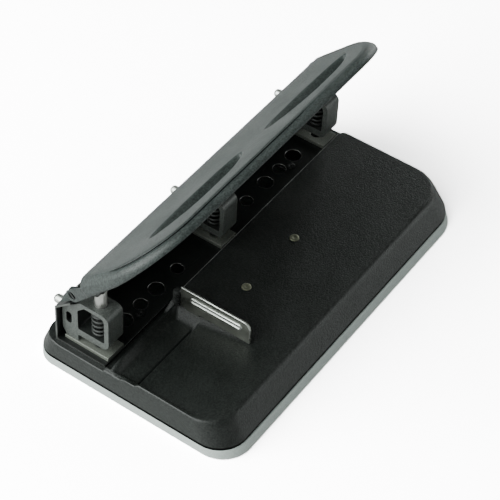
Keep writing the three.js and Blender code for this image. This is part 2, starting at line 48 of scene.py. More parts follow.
# ---------------------------------------------------------------- dimensions, mm, as in the CAD
# The base. X runs along the rail, from the near end (-) to the far end (+), and Y to the back.
COVER_HALF, COVER_FRONT, COVER_BACK, COVER_BOTTOM = 122.8, -65.8, 68, 8.3
COVER_RADII = (18, 22, 12)  # front near, front far, both back corners
TRAY_HALF, TRAY_FRONT, TRAY_BACK = 123.2, -68.8, 68.8
TRAY_RADII = (19, 23, 13)
PLATFORM_Z, SHELF_Z = 22.2, 18.3
TABLE_RIVET_X, TABLE_RIVET_Y = 24.6, -8.8
# The rail.
RAIL_HALF, RAIL_T = 118.3, 1.2
RAIL_FRONT, RAIL_BACK = 20.9, 55.5
RAIL_FLOOR_Z = SHELF_Z + 0.1
RAIL_TOP_Z = RAIL_FLOOR_Z + RAIL_T
CHIP_HOLES = [(s * x, 33, r) for s in (-1, 1) for x, r in ((35, 4.0), (55, 5.0), (70, 4.2), (85, 5.0))]
RAIL_RIVET_X, RAIL_RIVET_Y = 76.3, 28.5
WINDOWS = [(-114.5, -79.8), (-72.8, 72.8), (79.8, 114.5)]  # openings in the cover's shelf
# The punch heads.
HEADS = [-108.0, 0.0, 108.0]
HEAD_TRAVEL = [(0, 73), (-20, 20), (-73, 0)]
HEAD_HALF, FOOT_HALF, HEAD_TOP = 6.6, 7.2, 54.7
PIN_Y, PIN_R, PIN_TOP, PIN_TIP = 31.2, 3.57, 66.3, 29.45
CLIP_Z = 50.2
SCREW_Z = 39.0
# The lever, drawn closed, with its hinge on the X axis.
PIVOT_Y, PIVOT_Z, OPEN_ANGLE = 41.9, 64.0, -45
LEVER_HALF, LEVER_FRONT, LEVER_BACK, LEVER_TOP = 119.4, -78, -11.2, 6.9
LEVER_CORNER = 40
# The paper guide.
GUIDE_X, GUIDE_HALF_T = -58.7, 0.6


# ---------------------------------------------------------------- mesh helpers
def add_object(name, verts, faces, material, body, nodes=(), slot=None, sharp=35):
    me = bpy.data.meshes.new(name)
    me.from_pydata([tuple(float(c) * MM for c in v) for v in verts], [], [list(map(int, f)) for f in faces])
    me.validate()
    for p in me.polygons:
        p.use_smooth = True
    if sharp:
        me.set_sharp_from_angle(angle=math.radians(sharp))
    me.materials.append(material)
    obj = bpy.data.objects.new(name, me)
    bpy.context.scene.collection.objects.link(obj)
    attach(obj, body)
    if nodes:
        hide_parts(*nodes)
    return obj


def tidy_normals(obj):
    bm = bmesh.new()
    bm.from_mesh(obj.data)
    bmesh.ops.recalc_face_normals(bm, faces=bm.faces[:])
    bm.to_mesh(obj.data)
    bm.free()


def add_tidy(*args, **more):
    """A piece whose faces are turned to point outwards."""
    obj = add_object(*args, **more)
    tidy_normals(obj)
    return obj


def bevel(obj, width, segments=2):
    m = obj.modifiers.new("edge", "BEVEL")
    m.width = width * MM
    m.segments = segments
    m.limit_method = "ANGLE"
    m.angle_limit = math.radians(30)
    m.harden_normals = True


def bands(rings, n, first=0):
    """Quads that join rings of n points, stored one after the other from the first vertex."""
    faces = []
    for k in range(rings - 1):
        a = first + k * n
        faces += [[a + i, a + (i + 1) % n, a + n + (i + 1) % n, a + n + i] for i in range(n)]
    return faces


def circle(cx, cy, r, n=40):
    return [(cx + r * math.cos(2 * math.pi * i / n), cy + r * math.sin(2 * math.pi * i / n)) for i in range(n)]


def slot_loop(cx, cy, length, height, n=12):
    reach, r, pts = (length - height) / 2, height / 2, []
    for i in range(n + 1):
        a = -math.pi / 2 + math.pi * i / n
        pts.append((cx + reach + r * math.cos(a), cy + r * math.sin(a)))
    for i in range(n + 1):
        a = math.pi / 2 + math.pi * i / n
        pts.append((cx - reach + r * math.cos(a), cy + r * math.sin(a)))
    return pts


def round_corners(points, radii, n=6):
    """A polygon whose corners are rounded by tangent arcs."""
    out, count = [], len(points)
    for i, (p, r) in enumerate(zip(points, radii)):
        if r <= 0:
            out.append(p)
            continue
        p = np.array(p, float)
        a = np.array(points[i - 1], float) - p
        b = np.array(points[(i + 1) % count], float) - p
        la, lb = np.linalg.norm(a), np.linalg.norm(b)
        a, b = a / la, b / lb
        half = math.acos(max(-1, min(1, float(a @ b)))) / 2
        reach = min(r / math.tan(half), 0.499 * la, 0.499 * lb)
        r = reach * math.tan(half)
        mid = (a + b) / np.linalg.norm(a + b)
        centre = p + mid * (r / math.sin(half))
        s, e = p + a * reach - centre, p + b * reach - centre
        for k in range(n + 1):
            t = k / n
            ang = math.acos(max(-1, min(1, float(s @ e) / (r * r))))
            if ang < 1e-6:
                v = s
            else:
                v = (math.sin((1 - t) * ang) * s + math.sin(t * ang) * e) / math.sin(ang)
            out.append(tuple(centre + v))
    return out


def least_first(face):
    """The same face, started from its lowest vertex."""
    k = face.index(min(face))
    return face[k:] + face[:k]


PLANES = {
    "xy": lambda u, v, w: (u, v, w),
    "yz": lambda u, v, w: (w, u, v),
    "xz": lambda u, v, w: (u, w, v),
}


def plate(name, outline, holes, low, high, plane, material, body, edge=0.25, segments=2, **more):
    """A flat piece with holes, its outline drawn in one plane and its thickness across it."""
    bm = bmesh.new()
    for loop in [outline, *holes]:
        vs = [bm.verts.new(PLANES[plane](u, v, low)) for u, v in loop]
        for i, v in enumerate(vs):
            bm.edges.new((v, vs[(i + 1) % len(vs)]))
    bmesh.ops.triangle_fill(bm, use_beauty=True, use_dissolve=False, edges=bm.edges[:])
    made = bmesh.ops.extrude_face_region(bm, geom=bm.faces[:])
    shift = Vector(PLANES[plane](0, 0, high - low))
    bmesh.ops.translate(bm, vec=shift, verts=[g for g in made["geom"] if isinstance(g, bmesh.types.BMVert)])
    bmesh.ops.recalc_face_normals(bm, faces=bm.faces[:])
    # The fill lists its faces in an order of its own that changes from run to run, so both lists are sorted.
    ordered = sorted(bm.verts, key=lambda v: tuple(v.co))
    place = {v: k for k, v in enumerate(ordered)}
    verts = [tuple(v.co) for v in ordered]
    faces = sorted(least_first([place[v] for v in f.verts]) for f in bm.faces)
    bm.free()
    obj = add_object(name, verts, faces, material, body, **more)
    if edge:
        bevel(obj, edge, segments)
    return obj


def lathe(name, profile, origin, axis, material, body, n=40, **more):
    """A turned piece: (radius, height) pairs about a "y" or "z" axis through origin."""
    verts, faces = [], []
    ox, oy, oz = origin
    rows = []
    for r, h in profile:
        row = []
        for i in range(n if r > 1e-6 else 1):
            a = 2 * math.pi * i / n
            c, s = r * math.cos(a), r * math.sin(a)
            row.append(len(verts))
            verts.append((ox + s, oy + h, oz + c) if axis == "y" else (ox + c, oy + s, oz + h))
        rows.append(row)
    for a, b in zip(rows, rows[1:]):
        for i in range(n):
            j = (i + 1) % n
            if len(a) == 1 and len(b) == 1:
                continue
            if len(a) == 1:
                faces.append([a[0], b[j], b[i]])
            elif len(b) == 1:
                faces.append([a[i], a[j], b[0]])
            else:
                faces.append([a[i], a[j], b[j], b[i]])
    return add_tidy(name, verts, faces, material, body, **more)


def rounded_rect(x0, x1, y0, y1, near, far, back):
    """Corners in order: front near, front far, back far, back near."""
    pts, n = [], 14
    for cx, cy, r, start in ((x0 + near, y0 + near, near, 180), (x1 - far, y0 + far, far, 270),
                             (x1 - back, y1 - back, back, 0), (x0 + back, y1 - back, back, 90)):
        for i in range(n + 1):
            a = math.radians(start + 90 * i / n)
            pts.append((cx + r * math.cos(a), cy + r * math.sin(a)))
    return pts


def ring_stack(name, rings, material, body, closed=False, **more):
    """Rings are (outline, z) with one point count; quads join each ring to the next."""
    n = len(rings[0][0])
    verts = [(u, v, z) for loop, z in rings for u, v in loop]
    faces = bands(len(rings), n)
    if closed:
        faces += [list(range(n))[::-1], [(len(rings) - 1) * n + i for i in range(n)]]
    add_tidy(name, verts, faces, material, body, **more)


def directions(path):
    """Points of a path as an array, and the unit direction at each."""
    p = np.array(path, float)
    d = np.gradient(p, axis=0)
    return p, d / np.linalg.norm(d, axis=1)[:, None]


def tube(name, path, radius, material, body, axis=(1.0, 0, 0), **more):
    """A round bead along a path that never runs along axis."""
    p, d = directions(path)
    verts, n = [], 10
    for c, t in zip(p, d):
        a = np.cross(t, axis)
        a /= np.linalg.norm(a)
        b = np.cross(t, a)
        for j in range(n):
            q = 2 * math.pi * j / n
            verts.append(tuple(c + radius * (a * math.cos(q) + b * math.sin(q))))
    faces = bands(len(p), n) + [list(range(n))[::-1], [(len(p) - 1) * n + j for j in range(n)]]
    add_tidy(name, verts, faces, material, body, **more)


def spaced(*spans):
    """Grid lines: (start, end, step) spans that join end to end."""
    out = [spans[0][0]]
    for a, b, step in spans:
        n = max(1, round((b - a) / step))
        out += [a + (b - a) * (i + 1) / n for i in range(n)]
    return np.array(out)


def square_to_round(X, Y, x0, x1, y0, y1, radii):
    """Bends a rectangular grid's corners onto round ones, in the order of rounded_rect."""
    X, Y = X.copy(), Y.copy()
    for r, sx, sy, cx, cy in ((radii[0], -1, -1, x0 + radii[0], y0 + radii[0]),
                              (radii[1], 1, -1, x1 - radii[1], y0 + radii[1]),
                              (radii[2], 1, 1, x1 - radii[2], y1 - radii[2]),
                              (radii[3], -1, 1, x0 + radii[3], y1 - radii[3])):
        if r <= 0:
            continue
        u, v = (X - cx) * sx / r, (Y - cy) * sy / r
        m = (u > 0) & (v > 0)
        un = u * np.sqrt(np.clip(1 - v * v / 2, 0, 1))
        vn = v * np.sqrt(np.clip(1 - u * u / 2, 0, 1))
        X = np.where(m, cx + sx * un * r, X)
        Y = np.where(m, cy + sy * vn * r, Y)
    return X, Y


def rect_distance(X, Y, x0, x1, y0, y1, near, far, back):
    """Signed distance to a rectangle with round corners, negative inside. Sides may be arrays."""
    front = Y < (y0 + y1) / 2
    left = X < (x0 + x1) / 2
    r = np.where(front, np.where(left, near, far), back)
    cx, cy = (x0 + x1) / 2, (y0 + y1) / 2
    qx = np.abs(X - cx) - (x1 - x0) / 2 + r
    qy = np.abs(Y - cy) - (y1 - y0) / 2 + r
    return np.minimum(np.maximum(qx, qy), 0) + np.hypot(np.maximum(qx, 0), np.maximum(qy, 0)) - r


def smin(a, b, k):
    """The smaller of two fields, with a fillet of size k where they meet."""
    h = np.clip(k - np.abs(a - b), 0, None) / k
    return np.minimum(a, b) - h * h * k / 4


def smax(a, b, k):
    return -smin(-a, -b, k)


def softened(points, start, end, step, reach, width):
    """A line through (position, value) points, sampled every step and blurred over reach samples."""
    fine = np.arange(start, end, step)
    values = np.interp(fine, [p[0] for p in points], [p[1] for p in points])
    kernel = np.exp(-0.5 * (np.arange(-reach, reach + 1) * step / width) ** 2)
    return fine, np.convolve(np.pad(values, reach, mode="edge"), kernel / kernel.sum(), mode="valid")


def grid_object(name, X, Y, Z, material, body, keep, **more):
    """A grid of quads, of which those marked in keep are made."""
    ny, nx = X.shape
    verts = np.stack([X, Y, Z], -1).reshape(-1, 3)
    idx = np.arange(nx * ny).reshape(ny, nx)
    quads = np.stack([idx[:-1, :-1], idx[:-1, 1:], idx[1:, 1:], idx[1:, :-1]], -1)
    quads = quads[keep].reshape(-1, 4)
    used = np.unique(quads)
    back = np.full(len(verts), -1)
    back[used] = np.arange(len(used))
    add_object(name, verts[used], back[quads], material, body, **more)


# ---------------------------------------------------------------- materials
def tree_of(name):
    mat = bpy.data.materials.new(name)
    mat.use_nodes = True
    nt = mat.node_tree
    return mat, nt, nt.nodes["Principled BSDF"]


def noise(nt, coord, size_mm, detail, rough):
    n = nt.nodes.new("ShaderNodeTexNoise")
    n.inputs["Scale"].default_value = 1.0 / (size_mm * MM)
    n.inputs["Detail"].default_value = detail
    n.inputs["Roughness"].default_value = rough
    nt.links.new(coord, n.inputs["Vector"])
    return n.outputs["Fac"]


def remap(nt, value, low, high):
    """Noise, which mostly stays between 0.3 and 0.7, spread from low to high."""
    n = nt.nodes.new("ShaderNodeMapRange")
    n.inputs["From Min"].default_value = 0.3
    n.inputs["From Max"].default_value = 0.7
    n.inputs["To Min"].default_value = low
    n.inputs["To Max"].default_value = high
    nt.links.new(value, n.inputs["Value"])
    return n.outputs["Result"]


def mix_colour(nt, fac, a, b):
    n = nt.nodes.new("ShaderNodeMix")
    n.data_type = "RGBA"
    nt.links.new(fac, n.inputs[0])
    n.inputs[6].default_value = (*a, 1)
    n.inputs[7].default_value = (*b, 1)
    return n.outputs[2]


def bump(nt, height, distance, strength):
    n = nt.nodes.new("ShaderNodeBump")
    n.inputs["Distance"].default_value = distance
    n.inputs["Strength"].default_value = strength
    nt.links.new(height, n.inputs["Height"])
    return n.outputs["Normal"]


def painted(name, dark, light, rough, grain_mm, grain_depth, metal=0.0, spec=0.5, blotch_mm=25.0):
    """Paint or cast finish: fine grain in colour and bump, slow blotches in tone and gloss."""
    mat, nt, bsdf = tree_of(name)
    coord = nt.nodes.new("ShaderNodeTexCoord").outputs["Object"]
    fine = noise(nt, coord, grain_mm, 2.5, 0.6)
    slow = noise(nt, coord, blotch_mm, 2.0, 0.5)
    mixed = nt.nodes.new("ShaderNodeMath")
    mixed.operation = "MULTIPLY_ADD"
    nt.links.new(slow, mixed.inputs[0])
    mixed.inputs[1].default_value = 0.35
    nt.links.new(remap(nt, fine, -0.4, 1.05), mixed.inputs[2])
    nt.links.new(mix_colour(nt, mixed.outputs[0], dark, light), bsdf.inputs["Base Color"])
    nt.links.new(remap(nt, slow, rough - 0.05, rough + 0.05), bsdf.inputs["Roughness"])
    nt.links.new(bump(nt, fine, grain_depth * MM, 0.6), bsdf.inputs["Normal"])
    bsdf.inputs["Metallic"].default_value = metal
    bsdf.inputs["Specular IOR Level"].default_value = spec
    return mat


def metal(name, dark, light, rough, stretch=(1, 1, 1), grain_mm=0.5, depth=0.01):
    """Bare or plated metal with faint drawn or ground lines."""
    mat, nt, bsdf = tree_of(name)
    coord = nt.nodes.new("ShaderNodeTexCoord").outputs["Object"]
    scale = nt.nodes.new("ShaderNodeVectorMath")
    scale.operation = "MULTIPLY"
    nt.links.new(coord, scale.inputs[0])
    scale.inputs[1].default_value = stretch
    lines = noise(nt, scale.outputs[0], grain_mm, 2.0, 0.5)
    slow = noise(nt, coord, 1000 / 90, 2.0, 0.5)
    nt.links.new(mix_colour(nt, remap(nt, slow, 0.0, 1.0), dark, light), bsdf.inputs["Base Color"])
    nt.links.new(remap(nt, lines, rough * 0.75, rough * 1.3), bsdf.inputs["Roughness"])
    nt.links.new(bump(nt, lines, depth * MM, 0.4), bsdf.inputs["Normal"])
    bsdf.inputs["Metallic"].default_value = 1.0
    return mat


SMOOTH, DRAWN = (1, 1, 1), (1, 1, 0.05)

# name, darkest and lightest colour, roughness, grain size and depth in mm
COVER = painted("black_texture_paint", (0.0015, 0.0022, 0.0018), (0.0108, 0.0132, 0.0116),
                0.43, 0.9, 0.38, spec=0.43)
RAIL = painted("black_rail_paint", (0.0025, 0.0033, 0.0029), (0.007, 0.0082, 0.0075),
               0.42, 0.7, 0.07, spec=0.3)
# painted shade: a near-black band that fills the gap between the cover and the tray, where there is shade
GAP_SHADE = painted("painted_shade_gap", (0.0006, 0.0007, 0.0006), (0.0014, 0.0015, 0.0014),
               0.7, 0.8, 0.03, spec=0.06)
LEVER = painted("charcoal_grain_paint", (0.0065, 0.009, 0.0085), (0.036, 0.045, 0.0425),
                0.46, 0.9, 0.42, spec=0.42)
CAST = painted("grey_cast", (0.033, 0.0375, 0.034), (0.075, 0.082, 0.0765),
               0.42, 0.8, 0.07, metal=0.1)
# painted shade: a near-black copy of the casting colour, put on the casting's inside faces where they lie in
# shade
HEAD_INSIDE_SHADE = painted("casting_inside_painted_shade", (0.004, 0.005, 0.0045), (0.012, 0.0135, 0.0125),
                 0.5, 0.8, 0.07, spec=0.25)
PLATE = painted("plated_plate", (0.09, 0.098, 0.085), (0.16, 0.17, 0.149),
                0.38, 0.6, 0.04, metal=0.4)
TRAY = painted("pale_tray", (0.34, 0.38, 0.365), (0.43, 0.475, 0.455),
               0.5, 0.8, 0.03, spec=0.4, blotch_mm=60)
# name, darkest and lightest colour, roughness, direction, size and depth in mm of the lines
# lighter metal on the rail's cut edges: partly bare metal, partly a painted highlight
EDGE = metal("cut_edge_and_highlight", (0.07, 0.074, 0.07), (0.15, 0.155, 0.15), 0.42)
# painted highlight: a light metal for a thin bead along the platform's back edge
BACK_EDGE_HIGHLIGHT = metal("painted_highlight_edge", (0.16, 0.165, 0.16), (0.34, 0.345, 0.335), 0.5)
# painted highlight: a lighter metal on the rims of the chip holes, for the light their edges catch
HOLE_RIM_HIGHLIGHT = metal("hole_rim", (0.15, 0.155, 0.15), (0.27, 0.275, 0.265), 0.4)
CHROME = metal("chrome", (0.5, 0.52, 0.49), (0.6, 0.62, 0.59), 0.36, SMOOTH, 9.0, 0.0002)
SATIN = metal("satin_plate", (0.2, 0.21, 0.185), (0.27, 0.28, 0.25), 0.42, SMOOTH, 9.0, 0.0002)
STEEL = metal("ground_steel", (0.4, 0.4, 0.38), (0.54, 0.54, 0.52), 0.42, DRAWN, 2.0, 0.0004)
# painted shade: near-black steel for the part of each pin inside its head, standing in for the shade there
PIN_SHADE_STEEL = metal("steel_painted_shade", (0.02, 0.02, 0.018), (0.045, 0.045, 0.042), 0.4, DRAWN, 2.0, 0.0004)
WIRE = painted("spring_wire", (0.01, 0.0112, 0.0104), (0.024, 0.026, 0.025),
               0.5, 0.7, 0.02, spec=0.3)
RIVET = metal("dull_rivet", (0.17, 0.175, 0.13), (0.3, 0.305, 0.23), 0.6, SMOOTH, 0.8, 0.01)


# ---------------------------------------------------------------- base cover
RISE, END_IN, FRONT_IN, BACK_IN = 13.9, 2.25, 8.6, 4.6  # of the cover's sloping sides
RECESS = [(-70, 23.2), (-50, 22.25), (-1.95, 19.2), (-1.45, 16.1), (-0.75, 16.1), (-0.15, 17.3), (10.6, 17.4),
          (11.6, 17.6), (15.6, 21.6), (16.8, 21.8), (17.25, 17.75), (21.3, 17.75), (21.6, 18.3), (80, 18.3)]


def cover_loft(X, Y):
    """Height of the sloping sides over each point, found by halving."""
    low, high = np.zeros_like(X), np.full_like(X, 2.6)
    for _ in range(34):
        t = (low + high) / 2
        d = rect_distance(X, Y, -COVER_HALF + END_IN * t, COVER_HALF - END_IN * t,
                          COVER_FRONT + FRONT_IN * t, COVER_BACK - BACK_IN * t, *COVER_RADII)
        low, high = np.where(d < 0, t, low), np.where(d < 0, high, t)
    return COVER_BOTTOM + RISE * (low + high) / 2


def recess_profile(Y):
    """Section, front to back, of the sunk hand area and its shelf at the near end."""
    return np.interp(Y, *softened(RECESS, -70, 80, 0.05, 30, 0.32))


def cover_height(X, Y):
    """Sides and platform, less the step to the shelf, the hand area and its low near end."""
    z = smin(cover_loft(X, Y), PLATFORM_Z, 3.4)
    platform = rect_distance(X, Y, -160, 120.4, -160, 20.2, 5, 5, 4.5)
    z = smin(z, smax(SHELF_Z, SHELF_Z - 9 * platform, 0.8), 1.0)
    hand_area = rect_distance(X, Y, -119.2, -57.2, -50.5, 60, 20, 21, 1)
    slope = np.interp(X, [-119, -100, -60], [2.2, 0.9, 0.62])
    z = smin(z, smax(recess_profile(Y), 22.5 + slope * hand_area, 1.2), 0.9)
    mouth = 20.3 + 0.9 * np.clip(np.abs(Y - 5.5) - 6.5, 0, None) + 0.6 * np.clip(X + 116, 0, None)
    nose = 18.6 + 0.36 * np.clip(X + 121.5, 0, None) + 0.8 * np.clip(9 - Y, 0, None)
    return smin(smin(z, mouth, 1.5), nose, 2.4)


def cover_outline(inset, corner=1.0):
    """The foot of the cover, moved in; corner says how much of that its radii lose."""
    return rounded_rect(-COVER_HALF + inset, COVER_HALF - inset, COVER_FRONT + inset, COVER_BACK - inset,
                        *[r - inset * corner for r in COVER_RADII])


def base_cover():
    xs = spaced((-COVER_HALF, -116, 0.28), (-116, -66, 0.8), (-66, -55, 0.5), (-55, 112, 2.2),
                (112, COVER_HALF, 0.28))
    ys = spaced((COVER_FRONT, -50, 0.5), (-50, -5, 1.1), (-5, 24, 0.28), (24, 58, 2.0), (58, COVER_BACK, 0.4))
    near, far, back = COVER_RADII
    X, Y = np.meshgrid(xs, ys)
    X, Y = square_to_round(X, Y, -COVER_HALF, COVER_HALF, COVER_FRONT, COVER_BACK, (near, far, back, back))
    cx, cy = (X[:-1, :-1] + X[1:, 1:]) / 2, (Y[:-1, :-1] + Y[1:, 1:]) / 2
    keep = ~((np.abs(cx) < 117) & (cy > 22.2) & (cy < 54))
    grid_object("base_cover_skin", X, Y, cover_height(X, Y), COVER, "base", keep, nodes=("base_cover",),
                slot="cover_black", sharp=0)
    # Painted shade: the hem below the cover's foot is a near-black band down into the gap over the tray,
    # standing in for the shade in that gap.
    hem = [(0.02, COVER_BOTTOM + 0.02), (0.25, COVER_BOTTOM - 0.15), (0.45, COVER_BOTTOM - 0.2),
           (0.3, 7.6), (0.1, 7.2), (0.1, 6.1), (2.4, 6.1)]
    ring_stack("base_cover_hem", [(cover_outline(i), z) for i, z in hem], GAP_SHADE, "base", slot="cover_black")
    # A painted highlight: a thin light bead along the platform's back edge stands in for the light caught by its
    # rounding.
    edge = [(x, 20.02, PLATFORM_Z - 0.16) for x in np.linspace(-56, 117, 60)]
    tube("base_cover_back_edge", edge, 0.22, BACK_EDGE_HIGHLIGHT, "base", (0, 0, 1.0), slot="cover_black")
    skirt = [(0.9, COVER_BOTTOM), (2.6, COVER_BOTTOM - 0.2), (2.8, 6.5), (2.8, 4.4), (4.2, 4.4), (4.2, 8.3)]
    ring_stack("base_cover_skirt", [(cover_outline(i, 0.7), z) for i, z in skirt], RAIL, "base",
               slot="cover_black")
    holes = [[(a, 26.2), (b, 26.2), (b, 41), (a, 41)] for a, b in WINDOWS]
    plate("base_cover_shelf", [(-117.6, 21.6), (117.6, 21.6), (117.6, 54.6), (-117.6, 54.6)], holes,
          SHELF_Z - 1.7, SHELF_Z - 0.02, "xy", COVER, "base", 0.3, slot="cover_black")


def chip_tray():
    def tray(inset, top):
        """The tray's outline between its foot (top 0) and its rim (top 1), moved in."""
        f, b, e = TRAY_FRONT + 2.8 * top, TRAY_BACK - 0.3 * top, TRAY_HALF - 0.3 * top
        near, far, back = TRAY_RADII
        return rounded_rect(-e + inset, e - inset, f + inset, b - inset,
                            near - top - inset * 0.7, far - top - inset * 0.7, back - 0.6 * top - inset * 0.7)
    rings = [(tray(0.9, 0), 0.0), (tray(0.35, 0), 0.15), (tray(0.05, 0.0), 0.5), (tray(0, 0.05), 1.0),
             (tray(0, 0.78), 5.6), (tray(0.1, 0.82), 6.0), (tray(0.35, 0.84), 6.2), (tray(1.4, 1), 6.22),
             (tray(1.85, 1), 6.0), (tray(2.0, 1), 5.4), (tray(2.1, 1), 2.6), (tray(2.8, 1), 1.8)]
    ring_stack("chip_tray_shell", rings, TRAY, "base", True, nodes=("chip_tray",), slot="tray_grey")


def table_rivets():
    profile = [(0, 0.42), (0.5, 0.43), (0.9, 0.52), (1.4, 0.68), (2.1, 0.72), (2.6, 0.55), (2.88, 0.28),
               (2.95, 0.02), (2.4, -0.3), (2, -1)]
    for i, x in enumerate((-TABLE_RIVET_X, TABLE_RIVET_X)):
        lathe(f"table_rivet_cap_{i + 1}", profile, (x, TABLE_RIVET_Y, PLATFORM_Z), "z", RIVET, "base",
              nodes=(f"table_rivet_{i + 1}",), slot="rivet_brass")


# ---------------------------------------------------------------- rail
def rail_strip(name, path):
    """A strip of the rail's sheet, bent along (y, z) points, which are its outer face."""
    p, d = directions(path)
    inner = p + np.stack([-d[:, 1], d[:, 0]], 1) * RAIL_T
    loop = [tuple(q) for q in p] + [tuple(q) for q in inner[::-1]]
    plate(name, loop, [], -RAIL_HALF, RAIL_HALF, "yz", RAIL, "base", 0.2, slot="rail_black")


def rail():
    z0, z1 = RAIL_FLOOR_Z, RAIL_TOP_Z
    holes = [circle(*hole) for hole in CHIP_HOLES]
    holes += [circle(x, PIN_Y, PIN_R + 1.4) for x in HEADS]
    holes += [circle(s * RAIL_RIVET_X, RAIL_RIVET_Y, 1.7, 20) for s in (-1, 1)]
    floor = [(-RAIL_HALF, RAIL_FRONT), (RAIL_HALF, RAIL_FRONT), (RAIL_HALF, 53.2), (-RAIL_HALF, 53.2)]
    plate("rail_floor", floor, holes, z0, z1, "xy", RAIL, "base", 0.22, nodes=("rail",), slot="rail_black")
    slots = [slot_loop(x + (a + b) / 2, SCREW_Z, b - a + 4.2, 3.6) for x, (a, b) in zip(HEADS, HEAD_TRAVEL)]
    wall = [(-RAIL_HALF, 20.7), (RAIL_HALF, 20.7), (RAIL_HALF, 45.2), (-RAIL_HALF, 45.2)]
    plate("rail_wall", wall, slots, 54.3, RAIL_BACK, "xz", RAIL, "base", 0.2, slot="rail_black")
    arc = [(52.7 + 2.8 * math.sin(a), z0 + 2.8 - 2.8 * math.cos(a)) for a in np.linspace(0, math.pi / 2, 9)]
    rail_strip("rail_bend", [(52.6, z0)] + arc[1:] + [(RAIL_BACK, 21.4)])
    top = [(RAIL_BACK, 45.0)]
    for a in np.linspace(0, math.radians(52), 7):
        top.append((RAIL_BACK - 1.6 * (1 - math.cos(a)), 45.3 + 1.6 * math.sin(a)))
    top.append((44.6, 55.4))
    rail_strip("rail_lip", top)
    # The raised rims round the chip holes get a lighter metal, a painted highlight for the light their edges
    # catch.
    for k, (x, y, r) in enumerate(CHIP_HOLES):
        profile = [(r - 0.02, -0.5), (r - 0.02, -0.1), (r + 0.1, 0.02), (r + 0.3, 0.03), (r + 0.34, -0.1)]
        lathe(f"rail_hole_rim_{k + 1}", profile, (x, y, z1), "z", HOLE_RIM_HIGHLIGHT, "base", slot="rail_black")
    # The rail's front edge gets a thin strip of the same lighter metal: partly bare cut edge, partly a painted
    # highlight.
    plate("rail_front_edge", [(20.86, z0 + 0.2), (21.1, z0 + 0.2), (21.1, z1 + 0.05), (20.86, z1 - 0.1)], [],
          -RAIL_HALF, RAIL_HALF, "yz", EDGE, "base", 0, slot="rail_black")
    # The cut ends of the sheet, in a lighter metal that is partly bare cut edge and partly a painted highlight
    # for the light the ends catch.
    section = [(RAIL_FRONT, 18.42), (RAIL_BACK, 18.42), (RAIL_BACK, 45.8), (44.7, 55.4), (43.9, 54.6),
               (54.3, 45.1), (54.3, 19.6), (21.0, 19.6)]
    for name, x in (("rail_end_near", -RAIL_HALF), ("rail_end_far", RAIL_HALF)):
        plate(name, section, [], min(x, x * 1.0006), max(x, x * 1.0006), "yz", EDGE, "base", 0,
              slot="rail_black")


def rail_rivets():
    profile = [(0, 0.25), (0.7, 0.3), (1.1, 0.75), (1.7, 0.95), (2.3, 0.7), (2.6, 0.15), (2.5, 0.02),
               (1.5, -0.5)]
    for i, s in enumerate((-1, 1)):
        lathe(f"rail_rivet_cap_{i + 1}", profile, (s * RAIL_RIVET_X, RAIL_RIVET_Y, RAIL_TOP_Z), "z", RAIL,
              "base", 28, nodes=(f"rail_rivet_{i + 1}",), slot="steel")


# ---------------------------------------------------------------- punch heads
# The casting's outline as (y, z) with the radius of each corner, and the openings in its sides.
HEAD_CORNERS = [(53.3, 27.4), (53.3, 44), (40.3, HEAD_TOP), (21, HEAD_TOP), (21, 27.5), (42.4, 27.5),
                (42.4, 22.5), (50.4, 22.5)]
HEAD_RADII = [2, 3, 3, 4.6, 5, 0.6, 0, 0.5]
HEAD_WINDOW = round_corners([(24, 32.5), (42.4, 32.5), (42.4, 47.3), (37.8, 51.9), (24, 51.9)],
                            [1.2, 1.2, 1, 1, 3.2])
HEAD_OVAL = [(48.6 + v, 38 + u) for u, v in slot_loop(0, 0, 8.6, 3.8, 10)]


def head(n, x):
    body = f"head_{n}"
    casting = plate(f"head_casting_{n}", round_corners(HEAD_CORNERS, HEAD_RADII), [HEAD_WINDOW, HEAD_OVAL],
                    x - HEAD_HALF, x + HEAD_HALF, "yz", CAST, body, 0.55, 3, nodes=(f"head_frame_{n}",),
                    slot="cast_grey")
    paint_shade_inside(casting)
    foot = [(x - FOOT_HALF, 21), (x + FOOT_HALF, 21), (x + FOOT_HALF, 51.6), (x - FOOT_HALF, 51.6)]
    plate(f"head_foot_{n}", foot, [circle(x, PIN_Y, PIN_R + 0.1)], RAIL_TOP_Z + 0.05, PLATFORM_Z, "xy",
          PLATE, body, 0.3, 2, nodes=(f"die_plate_{n}",), slot="cast_grey")
    washer = [(1.7, 0.1), (4.0, 0.1), (4.2, 0.3), (4.2, 1.1), (4.0, 1.3), (1.7, 1.3), (1.7, 0.1)]
    lathe(f"washer_{n}", washer, (x, RAIL_BACK, SCREW_Z), "y", STEEL, body, nodes=(f"lock_washer_{n}",),
          slot="steel")
    screw(n, x)
    spring(n, x, body)
    pin(n, x)


def paint_shade_inside(casting):
    """The inside faces of the window and the oval get painted shade: a near-black material that stands in for
    the shade inside the casting.
    """
    casting.data.materials.append(HEAD_INSIDE_SHADE)
    for face in casting.data.polygons:
        y, z = face.center[1] / MM, face.center[2] / MM
        window = 23.4 < y < 43 and 31.9 < z < 52.5
        oval = 46.2 < y < 51.2 and 33 < z < 43
        if abs(face.normal[0]) < 0.3 and (window or oval):
            face.material_index = 1


